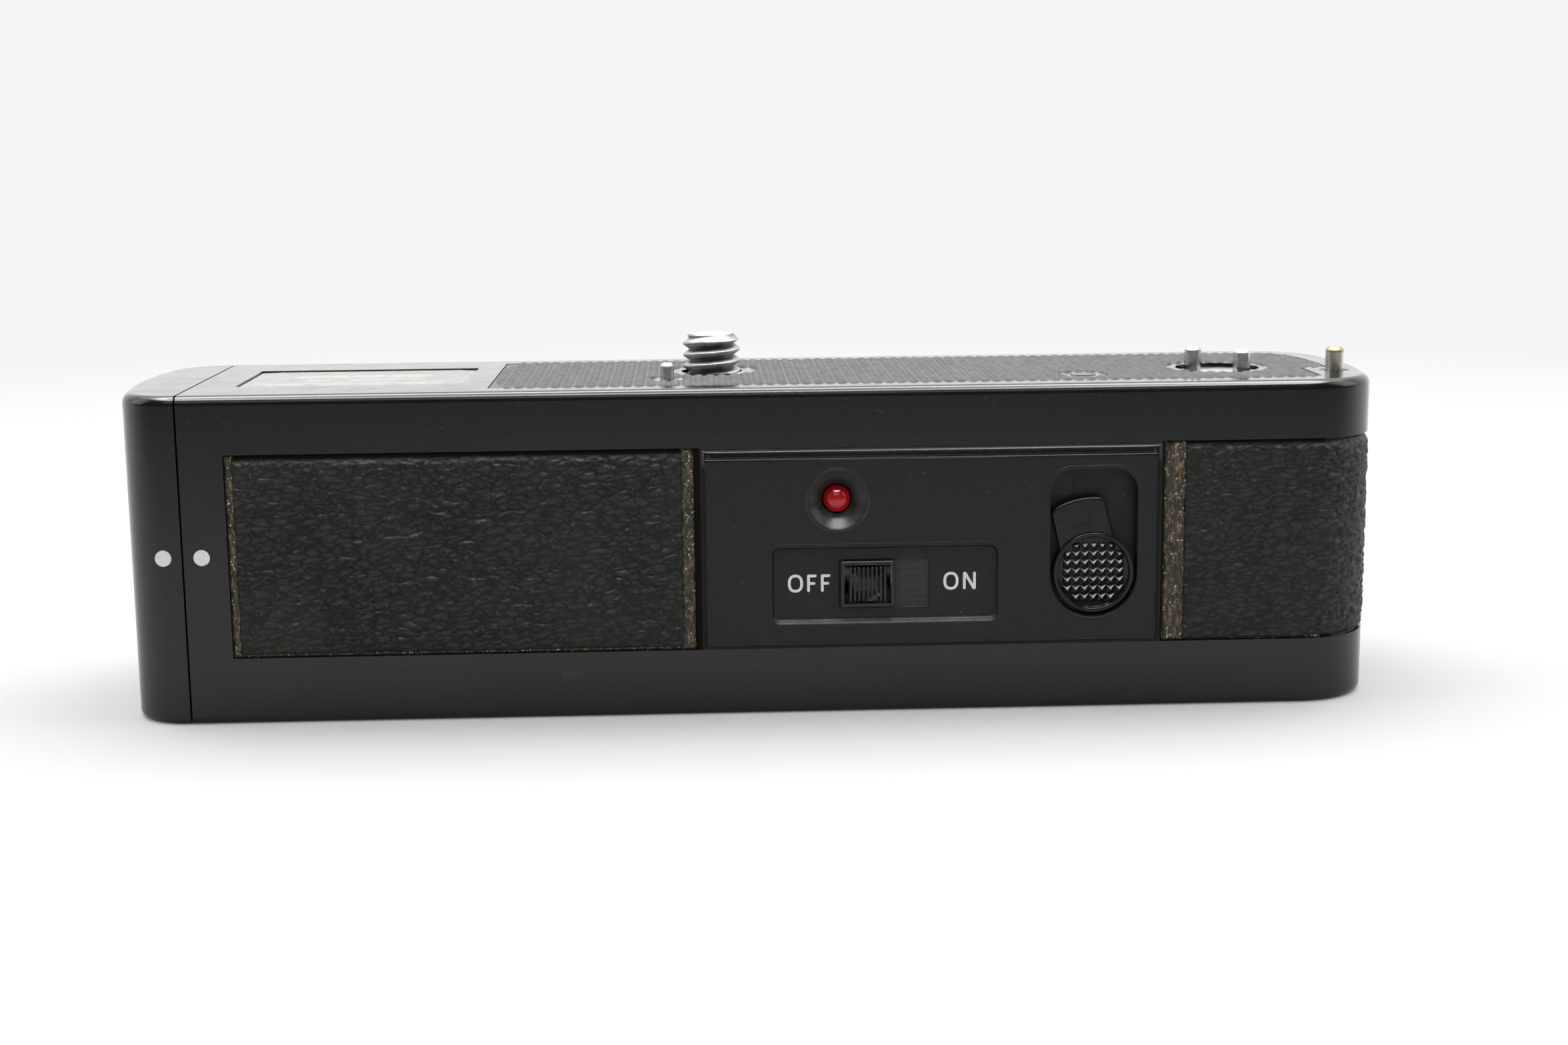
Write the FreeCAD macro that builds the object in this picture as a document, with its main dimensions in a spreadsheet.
import FreeCAD, Part
import math
import os
import re
import Sketcher

# Camera power winder. Millimetres. +X to the right as seen from the back, +Y towards the lens side,
# +Z up towards the camera. The origin is at the middle of the foot, on the surface it stands on.

doc = FreeCAD.newDocument("power_winder")
sheet = doc.addObject("Spreadsheet::Sheet", "Sizes")
subparts = []

SIZES = {
    # outer body
    "body_length": 135.6, "body_depth": 32.5, "body_height": 35.0,
    "cap_length": 7.7, "cap_bow": 58.0, "cap_corner": 6.0, "end_bow": 50.0, "end_corner": 8.5,
    "wall": 1.5, "floor_thick": 1.5, "roof_thick": 1.7, "top_edge": 1.0, "foot_edge": 0.8,
    "rail_top": 7.1, "band_top": 28.8, "seam_gap": 0.2,
    # covering
    "cover_recess": 0.5, "leather_proud": 0.15, "leather_left": -55.5, "leather_middle": -7.1,
    "wrap_left": 45.5, "leather_margin": 0.15, "patch_low": 8.5, "patch_high": 28.7, "patch_half": 11.0,
    "dot_radius": 0.85, "dot_height": 18.0, "cap_dot_from_seam": 2.1, "body_dot_from_seam": 1.9,
    "dot_depth": 0.3,
    # top face
    "sheet_thick": 0.55, "sheet_recess": 0.6, "sheet_left": -28.2, "sheet_margin": 3.7,
    "island_left": 61.0, "island_front": -3.6, "plate_left": -55.6, "plate_right": -31.0,
    "plate_back": -7.7, "plate_front": 8.0, "plate_thick": 0.4,
    # play between pieces, from a sliding fit to free air
    "side_gap": 0.1, "run_gap": 0.05, "seat_gap": 0.04, "free_gap": 0.3,
    # control panel
    "panel_left": -5.9, "panel_right": 43.0, "panel_flange": 1.5, "panel_back": 2.5,
    "switch_left": 1.5, "switch_right": 25.6, "switch_low": 9.7, "switch_high": 17.95,
    "switch_sink": 0.6, "slot_left": 8.7, "slot_right": 18.25, "slot_low": 11.3, "slot_high": 16.5,
    "knob_length": 5.75, "knob_proud": 0.5,
    "groove_first": 0.75, "groove_pitch": 0.93, "groove_width": 0.4, "groove_depth": 0.35,
    "case_margin": 3.0, "case_rise": 1.6, "case_wall": 0.8, "slider_rise": 0.2,
    "slider_clear": 0.4,
    "lamp_at": 8.5, "lamp_height": 23.0, "lamp_radius": 1.5, "lamp_dish": 3.1, "lamp_dish_depth": 1.2,
    "lamp_shaft": 3.2, "lamp_sunk": 0.1, "lead_side": 0.6, "lead_radius": 0.25, "lead_proud": 0.6,
    "lever_at": 35.8, "lever_height": 14.75, "lever_recess_half": 4.7, "lever_recess_low": 9.9,
    "lever_recess_high": 25.9, "lever_recess_corner": 2.5, "lever_sink": 1.6,
    "button_radius": 4.3, "tab_half": 2.95, "tab_reach": 8.1, "tab_thick": 0.8, "tab_lift": 0.45,
    "lever_tilt": 13.0, "lever_rise": 2.0, "lever_shaft": 1.5,
    "stop_right": 2.2, "stop_length": 2.9, "stop_thick": 0.35,
    "carriage_half": 3.4, "carriage_thick": 1.6, "carriage_lip": 0.4, "arm_half": 1.5, "arm_low": 1.6,
    "rail_far": 4.6, "rail_below": 4.5, "rail_above": 7.0,
    # battery magazine
    "cell_radius": 7.1, "cell_length": 49.5, "cell_gap": 0.2, "cell_clear": 0.15, "cell_from_end": 5.4,
    "magazine_half": 13.0, "magazine_low": 2.0, "magazine_high": 32.8, "magazine_end": 1.2,
    "nub_length": 1.4, "nub_radius": 2.7, "strip_half": 3.5, "strip_reach": 3.0, "pad_radius": 3.4,
    "contact_thick": 0.4, "contact_stud": 1.6, "stud_proud": 0.3,
    "terminal_gap": 0.3, "terminal_thick": 1.2, "terminal_top": 27.7, "terminal_clear": 0.6,
    "tongue_thick": 0.5, "tongue_half": 2.0, "tongue_rise": 2.2,
    "detent_left": 3.0, "detent_right": 19.0, "detent_thick": 0.3, "detent_half": 2.5,
    "magazine_screw_side": 5.0, "magazine_screw_length": 3.0, "screw_head": 0.7, "screw_slot": 0.35,
    "screw_slot_half": 0.25,
    # attaching screw
    "screw_at": -4.4, "screw_side": 2.1, "thread_radius": 3.175, "thread_core": 2.5, "thread_pitch": 1.27,
    "thread_proud": 4.2, "thread_length": 5.2, "screw_shank": 3.0, "sleeve_wall": 1.0,
    "thread_lead": 0.5, "thread_sink": 0.02,
    "knob_disc": 5.4, "knob_disc_thick": 2.2, "knob_pocket": 2.4, "knob_clear": 0.3,
    "coin_slot_half": 0.9, "coin_slot_depth": 0.9, "cup_wall": 1.0, "cup_clear": 0.1,
    "collar_radius": 4.96, "collar_hole": 3.4,
    # tripod socket
    "socket_at": 11.5, "socket_radius": 2.6, "socket_outer": 4.5, "socket_depth": 6.0,
    "socket_end": 0.8,
    # pins of the top face
    "guide_at": -9.3, "guide_side": -6.0, "guide_radius": 0.75, "guide_height": 1.75, "guide_bush": 1.85,
    "contact_at": 63.8, "contact_side": -6.7, "contact_radius": 0.975, "contact_height": 2.57,
    "contact_bush": 1.6, "guide_flange": 1.2, "contact_flange": 1.25,
    "spring_wire": 0.12, "coil_in": 0.2, "shoulder_up": 1.9, "shoulder_thick": 0.5,
    "bush_depth": 6.0, "bush_floor": 0.6, "bush_sunk": 0.05, "tip_rise": 0.3, "tip_in": 0.25,
    "release_at": 36.0, "release_side": -7.05, "release_ring": 2.5, "release_head": 1.4,
    "release_shank": 0.9, "release_collar": 1.9, "release_collar_drop": 15.6, "release_head_length": 3.0,
    "release_collar_thick": 0.6,
    # drive
    "coupler_at": 52.0, "coupler_side": -1.7, "coupler_ring": 5.6, "coupler_hole": 4.6,
    "coupler_disc": 4.2, "coupler_disc_thick": 1.2, "coupler_sink": 0.4, "dog_radius": 0.95,
    "dog_reach": 3.0, "dog_height": 2.1, "dog_angle": -40.0, "coupler_shaft": 2.0,
    "coupler_bush": 1.0,
    "motor_radius": 11.0, "motor_low": 7.5, "motor_wall": 0.8, "motor_hole": 2.2, "motor_nose": 2.0,
    "end_cover_thick": 1.6, "end_cover_floor": 0.6, "magnet_thick": 1.8, "magnet_low": 4.0,
    "magnet_short": 1.5, "magnet_from": 3.0, "armature_radius": 7.9, "armature_length": 10.0,
    "armature_low": 4.5, "pole_slots": 3, "pole_slot": 2.2, "pole_slot_at": 5.6, "motor_shaft": 1.0,
    "commutator_low": 2.0, "commutator_radius": 2.4, "brush_at": 3.9, "brush_half": 1.4,
    "brush_side": 1.0, "brush_short": 0.4,
    "gear_module": 0.5, "gear_backlash": 0.12, "gear_thick": 1.4,
    "pinion_teeth": 12, "pinion_past": 0.2, "first_teeth": 38, "first_pinion_teeth": 14,
    "second_teeth": 34, "second_pinion_teeth": 14, "coupler_teeth": 40, "wheel_lift": 0.1,
    "first_angle": 8.0, "second_angle": -7.2212683, "third_angle": -19.6119372,
    "first_drop": 8.5, "second_drop": 6.5, "third_drop": 4.7, "spindle_radius": 0.8,
    "lower_plate_drop": 10.4, "plate_sheet": 1.2, "upper_plate_drop": 3.1, "upper_sheet": 0.9,
    "plates_left": 3.5, "plates_right": 59.0, "plates_back": -9.6, "plates_front": 13.8,
    "pillar_radius": 1.6, "pillar_bore": 6.0, "pillar_screw": 5.0, "pillar_head": 0.4, "pillar_head_in": 0.2,
    "boss_radius": 2.6, "bolt_radius": 1.0, "bolt_fit": 0.02, "bolt_head": 1.9, "bolt_grip": 4.0,
    "bolt_end": 0.2, "bolt_slot_half": 0.3, "bolt_slot_depth": 0.7, "bolt_sunk": 0.15,
    # electrics
    "board_thick": 1.2, "board_back": -9.9, "board_left": 0.8, "board_right": 28.0, "board_low": 4.0,
    "board_high": 31.0, "foot_length": 3.0, "foot_in": 2.0,
    "logic_from_motor": 14.5, "logic_length": 15.5, "logic_back": -5.0, "logic_front": 13.0,
    "logic_low": 3.5, "post_radius": 1.5, "post_in": 3.0,
    "relay_from": 1.5, "relay_length": 12.0, "relay_back": 2.5, "relay_front": 12.0, "relay_high": 9.0,
    "capacitor_from": 3.1, "capacitor_pitch": 6.0, "capacitor_side": -1.6, "capacitor_radius": 2.5,
    "capacitor_high": 10.0,
}

for row, (alias, size) in enumerate(SIZES.items(), start=1):
    sheet.set(f"A{row}", alias)
    sheet.set(f"B{row}", str(size))
    sheet.setAlias(f"B{row}", alias)
doc.recompute()


def mm(alias):
    """A size as a plain number, read from the sheet."""
    return float(sheet.get(alias))


def formula(text):
    """An expression in which each alias is looked up in the sheet."""
    return re.sub(r"[a-z_]+", lambda word: f"Sizes.{word.group()}" if word.group() in SIZES
                  else word.group(), str(text))


def bind(item, **sizes):
    """Ties properties to the sheet; an underscore in a key stands for a dot."""
    for key, text in sizes.items():
        item.setExpression(key.replace("_", "."), formula(text))
    return item


def at(item, x="0", y="0", z="0"):
    """Places an object, each coordinate an expression."""
    return bind(item, Placement_Base_x=x, Placement_Base_y=y, Placement_Base_z=z)


def subpart(item, name):
    """Makes a finished object the sub-part of this name."""
    item.Label = name
    subparts.append(item)
    return item


# Building blocks ------------------------------------------------------------------------------

def box(x0, x1, y0, y1, z0, z1):
    item = doc.addObject("Part::Box", "block")
    bind(item, Length=f"({x1}) - ({x0})", Width=f"({y1}) - ({y0})", Height=f"({z1}) - ({z0})")
    return at(item, x0, y0, z0)


def rod(x, y, z0, z1, radius):
    """A cylinder that stands along Z."""
    item = doc.addObject("Part::Cylinder", "rod")
    bind(item, Radius=radius, Height=f"({z1}) - ({z0})")
    return at(item, x, y, z0)


def cone(x, y, z0, z1, low_radius, high_radius):
    item = doc.addObject("Part::Cone", "cone")
    bind(item, Radius1=low_radius, Radius2=high_radius, Height=f"({z1}) - ({z0})")
    return at(item, x, y, z0)


def rod_along(axis, x, y, z, length, radius):
    """A cylinder whose base centre is x, y, z and which runs along +X or +Y."""
    item = doc.addObject("Part::Cylinder", "rod")
    turn = {"X": (FreeCAD.Vector(0, 1, 0), 90), "Y": (FreeCAD.Vector(1, 0, 0), -90)}[axis]
    item.Placement = FreeCAD.Placement(FreeCAD.Vector(0, 0, 0), FreeCAD.Rotation(*turn))
    bind(item, Radius=radius, Height=length)
    return at(item, x, y, z)


def cone_along_y(x, y, z, length, first_radius, last_radius):
    item = doc.addObject("Part::Cone", "cone")
    item.Placement = FreeCAD.Placement(FreeCAD.Vector(0, 0, 0),
                                       FreeCAD.Rotation(FreeCAD.Vector(1, 0, 0), -90))
    bind(item, Radius1=first_radius, Radius2=last_radius, Height=length)
    return at(item, x, y, z)


def fuse(*items):
    result = doc.addObject("Part::MultiFuse", "joined")
    result.Shapes = list(items)
    result.Refine = True
    return result


def cut(base, *tools):
    result = doc.addObject("Part::Cut", "cut")
    result.Base = base
    result.Tool = tools[0] if len(tools) == 1 else fuse(*tools)
    result.Refine = True
    return result


def common(*items):
    result = doc.addObject("Part::MultiCommon", "shared")
    result.Shapes = list(items)
    return result


def group(*items):
    """Separate solids that share one node."""
    result = doc.addObject("Part::Compound", "group")
    result.Links = list(items)
    return result


def shaped(name, shape, place=(0, 0, 0)):
    """A sub-part whose shape is worked out from the sheet's values."""
    item = doc.addObject("Part::Feature", name)
    item.Shape = shape
    item.Placement = FreeCAD.Placement(FreeCAD.Vector(*place), FreeCAD.Rotation())
    return subpart(item, name)


# Sketched outlines ----------------------------------------------------------------------------

def plain_body(name):
    return doc.addObject("PartDesign::Body", name)


def new_body(name):
    return subpart(plain_body(name), name)


def sketch_on(body, role, offset):
    """A sketch on one of the body's own origin planes, lifted off it by an expression."""
    plane = next(item for item in body.Origin.OriginFeatures if item.Role == role)
    sketch = body.newObject("Sketcher::SketchObject", "sketch")
    sketch.AttachmentSupport = (plane, [""])
    sketch.MapMode = "FlatFace"
    sketch.setExpression("AttachmentOffset.Base.z", formula(offset))
    return sketch


def fix(sketch, constraint, text):
    """Adds a dimension and ties it to the sheet."""
    index = sketch.addConstraint(constraint)
    sketch.setExpression(f"Constraints[{index}]", formula(text))


def value(text):
    """The value of an expression, for a sketch's first guess."""
    return float(sheet.evalExpression(formula(text)))


def rectangle(sketch, x0, x1, y0, y1):
    """Four lines fixed from the sketch's origin."""
    left, right, low, high = (value(text) for text in (x0, x1, y0, y1))
    corners = [FreeCAD.Vector(left, low), FreeCAD.Vector(right, low),
               FreeCAD.Vector(right, high), FreeCAD.Vector(left, high)]
    first = sketch.GeometryCount
    for index in range(4):
        sketch.addGeometry(Part.LineSegment(corners[index], corners[(index + 1) % 4]))
    for index in range(4):
        following = first + (index + 1) % 4
        sketch.addConstraint(Sketcher.Constraint("Coincident", first + index, 2, following, 1))
        way = "Horizontal" if index % 2 == 0 else "Vertical"
        sketch.addConstraint(Sketcher.Constraint(way, first + index))
    fix(sketch, Sketcher.Constraint("DistanceX", -1, 1, first, 1, left), x0)
    fix(sketch, Sketcher.Constraint("DistanceX", -1, 1, first + 1, 1, right), x1)
    fix(sketch, Sketcher.Constraint("DistanceY", -1, 1, first, 1, low), y0)
    fix(sketch, Sketcher.Constraint("DistanceY", -1, 1, first + 2, 1, high), y1)


def circle(sketch, x, y, radius):
    geometry = sketch.addGeometry(Part.Circle(FreeCAD.Vector(value(x), value(y), 0),
                                              FreeCAD.Vector(0, 0, 1), value(radius)))
    fix(sketch, Sketcher.Constraint("Radius", geometry, value(radius)), radius)
    fix(sketch, Sketcher.Constraint("DistanceX", -1, 1, geometry, 3, value(x)), x)
    fix(sketch, Sketcher.Constraint("DistanceY", -1, 1, geometry, 3, value(y)), y)


def rounded_end(sketch, straight_x, inset, end="right"):
    """
    The body's plan from a straight cut at straight_x to one bowed end with rounded corners,
    drawn in from the outside by inset. The arcs keep their centres, so every inset runs parallel.
    """
    side = 1 if end == "right" else -1
    bow, corner = ("end_bow", "end_corner") if end == "right" else ("cap_bow", "cap_corner")
    half = value(f"body_depth / 2 - ({inset})")
    bow_radius = value(f"{bow} - ({inset})")
    corner_radius = value(f"{corner} - ({inset})")
    bow_x = side * (mm("body_length") / 2 - mm(bow))
    corner_y = mm("body_depth") / 2 - mm(corner)
    corner_x = bow_x + side * math.sqrt((mm(bow) - mm(corner)) ** 2 - corner_y ** 2)
    spread = math.atan2(corner_y, side * (corner_x - bow_x))
    cut_x = value(straight_x)
    up = FreeCAD.Vector(0, 0, 1)

    def arc(x, y, radius, start, finish):
        whole = Part.Circle(FreeCAD.Vector(x, y, 0), up, radius)
        return sketch.addGeometry(Part.ArcOfCircle(whole, start, finish))

    def line(start, finish):
        return sketch.addGeometry(Part.LineSegment(FreeCAD.Vector(*start), FreeCAD.Vector(*finish)))

    if side > 0:
        low = line((cut_x, -half), (corner_x, -half))
        first = arc(corner_x, -corner_y, corner_radius, -math.pi / 2, -spread)
        middle = arc(bow_x, 0, bow_radius, -spread, spread)
        last = arc(corner_x, corner_y, corner_radius, spread, math.pi / 2)
        high = line((corner_x, half), (cut_x, half))
        closing = line((cut_x, half), (cut_x, -half))
    else:
        low = line((cut_x, half), (corner_x, half))
        first = arc(corner_x, corner_y, corner_radius, math.pi / 2, math.pi - spread)
        middle = arc(bow_x, 0, bow_radius, math.pi - spread, math.pi + spread)
        last = arc(corner_x, -corner_y, corner_radius, math.pi + spread, 3 * math.pi / 2)
        high = line((corner_x, -half), (cut_x, -half))
        closing = line((cut_x, -half), (cut_x, half))
    join = sketch.addConstraint
    for piece, following in ((low, first), (first, middle), (middle, last), (last, high)):
        join(Sketcher.Constraint("Tangent", piece, 2, following, 1))
    join(Sketcher.Constraint("Coincident", high, 2, closing, 1))
    join(Sketcher.Constraint("Coincident", closing, 2, low, 1))
    join(Sketcher.Constraint("Horizontal", low))
    join(Sketcher.Constraint("Horizontal", high))
    join(Sketcher.Constraint("Vertical", closing))
    join(Sketcher.Constraint("Equal", first, last))
    join(Sketcher.Constraint("PointOnObject", middle, 3, -1))
    fix(sketch, Sketcher.Constraint("Radius", first, corner_radius), f"{corner} - ({inset})")
    fix(sketch, Sketcher.Constraint("Radius", middle, bow_radius), f"{bow} - ({inset})")
    fix(sketch, Sketcher.Constraint("DistanceX", -1, 1, middle, 3, bow_x),
        f"{side} * (body_length / 2 - {bow})")
    fix(sketch, Sketcher.Constraint("DistanceX", -1, 1, closing, 1, cut_x), straight_x)
    fix(sketch, Sketcher.Constraint("DistanceY", -1, 1, low, 1, -side * half),
        f"{-side} * (body_depth / 2 - ({inset}))")
    fix(sketch, Sketcher.Constraint("DistanceY", -1, 1, high, 2, side * half),
        f"{side} * (body_depth / 2 - ({inset}))")


def pad(body, sketch, length):
    feature = body.newObject("PartDesign::Pad", "pad")
    feature.Profile = sketch
    feature.setExpression("Length", formula(length))
    doc.recompute()
    return feature


def pocket(body, sketch, length):
    """Cuts the way the sketch faces, and stops if nothing came away."""
    before = body.Shape.Volume
    feature = body.newObject("PartDesign::Pocket", "pocket")
    feature.Profile = sketch
    feature.Reversed = True
    feature.setExpression("Length", formula(length))
    doc.recompute()
    assert body.Shape.Volume < before - 1e-6, f"{body.Label}: a pocket cuts nothing"
    return feature


def slab(body, z0, z1, draw, *arguments, remove=False):
    """Adds or removes a level slab between z0 and z1 whose outline is drawn on the body's XY plane."""
    sketch = sketch_on(body, "XY_Plane", z0)
    draw(sketch, *arguments)
    length = f"({z1}) - ({z0})"
    return pocket(body, sketch, length) if remove else pad(body, sketch, length)


def round_edges(body, radius, wanted):
    """Fillets the edges of the last feature that the test picks, with a radius tied to the sheet."""
    edges = [f"Edge{index}" for index, edge in enumerate(body.Shape.Edges, start=1) if wanted(edge)]
    assert edges, f"{body.Label}: no edge to round"
    base = body.Tip
    feature = body.newObject("PartDesign::Fillet", "rounding")
    feature.Base = (base, edges)
    feature.setExpression("Radius", formula(radius))
    doc.recompute()
    return feature


def level_edge(height, inside):
    """Picks edges that lie at one height and pass a further test on their middle."""
    def wanted(edge):
        bounds = edge.BoundBox
        middle = edge.valueAt((edge.FirstParameter + edge.LastParameter) / 2)
        return abs(bounds.ZMin - height) < 1e-4 and abs(bounds.ZMax - height) < 1e-4 and inside(middle)
    return wanted


REAR = "-body_depth / 2"
FRONT = "body_depth / 2"
SEAM = "-body_length / 2 + cap_length"
REAR_INNER = "-body_depth / 2 + wall"
BAND_REAR = "-body_depth / 2 + cover_recess"
BAND_FRONT = "body_depth / 2 - cover_recess"
ROOF_UNDER = "body_height - roof_thick"
PAST = 5  # how far a cutting tool runs past what it cuts
KNOB_GROOVES = 5
COUPLER_BUSH = "coupler_shaft + run_gap + coupler_bush"

CELL_LEFT = "(cell_from_end - body_length / 2)"
CELL_PITCH = "(2 * cell_radius + cell_gap)"
CELL_RIGHT = f"{CELL_LEFT} + cell_length"
MAG_RIGHT = f"{CELL_RIGHT} + contact_thick + magazine_end"
MIDDLE = "(magazine_low + magazine_high) / 2"
CELL_PLACES = [(f"{side} * {CELL_PITCH} / 2", f"{MIDDLE} + {level} * {CELL_PITCH} / 2")
               for side in (-1, 1) for level in (-1, 1)]
BOSSES = (("-6.4", "-11.9"), ("-6.4", "11.9"), ("60.9", "-11.9"), ("60.3", "10.4"))

# levels of the drive, measured down from the top face
LOWER_PLATE = "(body_height - lower_plate_drop)"
UPPER_PLATE = "(body_height - upper_plate_drop)"
LEVEL_ONE = "(body_height - first_drop)"
LEVEL_TWO = "(body_height - second_drop)"
LEVEL_THREE = "(body_height - third_drop)"
RELEASE_COLLAR = "(body_height - release_collar_drop)"
COLLAR_TOP = f"{RELEASE_COLLAR} + release_collar_thick"
BUSH_TOP = "body_height - bush_sunk"

# the drive's centres, walked back from the coupler: each pair of wheels lies at its own angle
REACHES = (("first_angle", "gear_module * (pinion_teeth + first_teeth) / 2"),
           ("second_angle", "gear_module * (first_pinion_teeth + second_teeth) / 2"),
           ("third_angle", "gear_module * (second_pinion_teeth + coupler_teeth) / 2"))


def walked_back(start, part, count):
    """A centre's coordinate: the coupler's, less the last count reaches at their angles."""
    steps = [f"{reach} * {part}({angle} * 1 deg)" for angle, reach in REACHES[len(REACHES) - count:]]
    return "(" + " - ".join([start] + steps) + ")"


MOTOR_X = walked_back("coupler_at", "cos", 3)
MOTOR_Y = walked_back("coupler_side", "sin", 3)
LOGIC_LEFT = f"({MOTOR_X} + logic_from_motor)"
LOGIC_RIGHT = f"({LOGIC_LEFT} + logic_length)"
PILLARS = (("5.4", "-7.2"), ("5.4", "12.0"), ("55.0", "11.8"), ("40.4", "-8.0"))


def sheet_outline(sketch, inset):
    """The grip sheet's place on the top face, parallel to the body's right end."""
    rounded_end(sketch, f"sheet_left + ({inset})", f"sheet_margin + ({inset})")


# Housing --------------------------------------------------------------------------------------

def make_housing():
    body = new_body("main_housing")
    slab(body, "0", "rail_top", rounded_end, SEAM, "0")
    slab(body, "rail_top", "band_top", rounded_end, SEAM, "cover_recess")
    slab(body, "rail_top", "band_top", rectangle, SEAM, "leather_left", REAR, FRONT)
    slab(body, "floor_thick", f"band_top + {PAST}", rounded_end, f"{SEAM} - {PAST}", "wall", remove=True)
    round_edges(body, "foot_edge", level_edge(0, lambda p: p.x > value(SEAM) + 0.01))
    # window behind the control panel, cut back from the band's floor
    window = sketch_on(body, "XZ_Plane", f"-({REAR_INNER}) - {PAST}")
    rectangle(window, "panel_left + panel_flange", "panel_right - panel_flange",
              "rail_top + panel_flange", "band_top - panel_flange")
    pocket(body, window, f"2 * {PAST}")
    # cup for the attaching knob, boss for the tripod socket, and bosses for the four bolts
    slab(body, "0", "knob_pocket + floor_thick", circle, "screw_at", "screw_side",
         "knob_disc + knob_clear + cup_wall")
    slab(body, "0", "knob_pocket", circle, "screw_at", "screw_side", "knob_disc + knob_clear", remove=True)
    slab(body, "0", "knob_pocket + floor_thick", circle, "screw_at", "screw_side",
         "screw_shank + run_gap + sleeve_wall", remove=True)
    slab(body, "0", "socket_depth + wall", circle, "socket_at", "screw_side", "socket_outer + wall")
    slab(body, "0", "socket_depth", circle, "socket_at", "screw_side", "socket_outer", remove=True)
    for x, y in BOSSES:
        slab(body, "0", "band_top", circle, x, y, "boss_radius")
        slab(body, "0", "bolt_head", circle, x, y, "bolt_head + side_gap", remove=True)
        slab(body, "0", "band_top", circle, x, y, "bolt_radius + side_gap", remove=True)
    # dimple for the painted dot
    dimple = sketch_on(body, "XZ_Plane", f"-({REAR}) - dot_depth")
    circle(dimple, f"{SEAM} + body_dot_from_seam", "dot_height", "dot_radius")
    pocket(body, dimple, f"{PAST}")
    return body


def make_top_cover():
    body = new_body("top_cover")
    slab(body, "band_top", "body_height", rounded_end, SEAM, "0")
    top = mm("body_height")
    round_edges(body, "top_edge", level_edge(top, lambda p: p.x > value(SEAM) + 0.01))
    slab(body, f"band_top - {PAST}", ROOF_UNDER, rounded_end, f"{SEAM} - {PAST}", "wall", remove=True)
    slab(body, "body_height - sheet_recess", f"body_height + {PAST}", sheet_outline, "0", remove=True)
    # the plain island around the contact pin stands level with the rim again
    slab(body, "body_height - sheet_recess", "body_height", rectangle, "island_left",
         "body_length / 2 - sheet_margin + side_gap", "-body_depth / 2 + sheet_margin - side_gap",
         "island_front")
    slab(body, "body_height - sheet_recess", f"body_height + {PAST}", rectangle, "plate_left",
         "plate_right", "plate_back", "plate_front", remove=True)
    holes = (("screw_at", "screw_side", "collar_radius"), ("guide_at", "guide_side", "guide_bush"),
             ("contact_at", "contact_side", "contact_bush"), ("release_at", "release_side", "release_ring"),
             ("coupler_at", "coupler_side", "coupler_ring"))
    for x, y, radius in holes:
        slab(body, f"{ROOF_UNDER} - {PAST}", f"body_height + {PAST}", circle, x, y, radius, remove=True)
    # bolt bosses meet the housing's at the joint
    for x, y in BOSSES:
        slab(body, "band_top", f"{ROOF_UNDER} + side_gap", circle, x, y, "boss_radius")
        slab(body, f"band_top - {PAST}", "band_top + bolt_grip + bolt_end", circle, x, y, "bolt_radius",
             remove=True)
    return body


def make_end_cap():
    body = new_body("end_cap")
    edge = f"{SEAM} - seam_gap"
    slab(body, "0", "body_height", rounded_end, edge, "0", "left")
    inner = value(edge) - 0.01
    round_edges(body, "top_edge", level_edge(mm("body_height"), lambda p: p.x < inner))
    round_edges(body, "foot_edge", level_edge(0, lambda p: p.x < inner))
    slab(body, "floor_thick", ROOF_UNDER, rounded_end, f"{edge} + {PAST}", "wall", "left", remove=True)
    dimple = sketch_on(body, "XZ_Plane", f"-({REAR}) - dot_depth")
    circle(dimple, f"{SEAM} - cap_dot_from_seam", "dot_height", "dot_radius")
    pocket(body, dimple, f"{PAST}")
    for side in (-1, 1):
        for radius, depth in (("bolt_radius", "wall + 1"), ("bolt_head + side_gap", "1.1")):
            hole = sketch_on(body, "YZ_Plane", "-body_length / 2")
            circle(hole, f"{side} * magazine_screw_side", MIDDLE, radius)
            pocket(body, hole, depth)
    return body


def make_dots():
    """The two index dots either side of the seam."""
    for name, place in (("body_dot", f"{SEAM} + body_dot_from_seam"),
                        ("cap_dot", f"{SEAM} - cap_dot_from_seam")):
        dot = rod_along("Y", place, REAR, "dot_height", "dot_depth", "dot_radius")
        subpart(dot, name)


# Coverings ------------------------------------------------------------------------------------

def leather_patch(name, x0, x1, front):
    """A flat patch on the band's floor of the back or the front."""
    outer = f"{FRONT} + leather_proud" if front else f"{REAR} - leather_proud"
    inner = BAND_FRONT if front else BAND_REAR
    y0, y1 = (inner, outer) if front else (outer, inner)
    return subpart(box(x0, x1, y0, y1, "rail_top + leather_margin", "band_top - leather_margin"), name)


def make_leathers():
    leather_patch("rear_leather", "leather_left + leather_margin", "leather_middle", front=False)
    wrap = new_body("wrap_leather")
    low, high = "rail_top + leather_margin", "band_top - leather_margin"
    slab(wrap, low, high, rounded_end, "wrap_left", "-leather_proud")
    slab(wrap, f"{low} - {PAST}", f"{high} + {PAST}", rounded_end, f"wrap_left - {PAST}", "cover_recess",
         remove=True)
    leather_patch("front_leather", "leather_left + leather_margin", "wrap_left", front=True)
    patch = new_body("end_leather")
    slab(patch, "patch_low", "patch_high", rounded_end, SEAM, "-leather_proud", "left")
    slab(patch, f"patch_low - {PAST}", f"patch_high + {PAST}", rounded_end, f"{SEAM} + {PAST}", "0", "left",
         remove=True)
    for side in (-1, 1):
        near, far = sorted((f"{side} * patch_half", f"{side} * body_depth"), key=value)
        slab(patch, f"patch_low - {PAST}", f"patch_high + {PAST}", rectangle, "-body_length", SEAM,
             near, far, remove=True)


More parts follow.
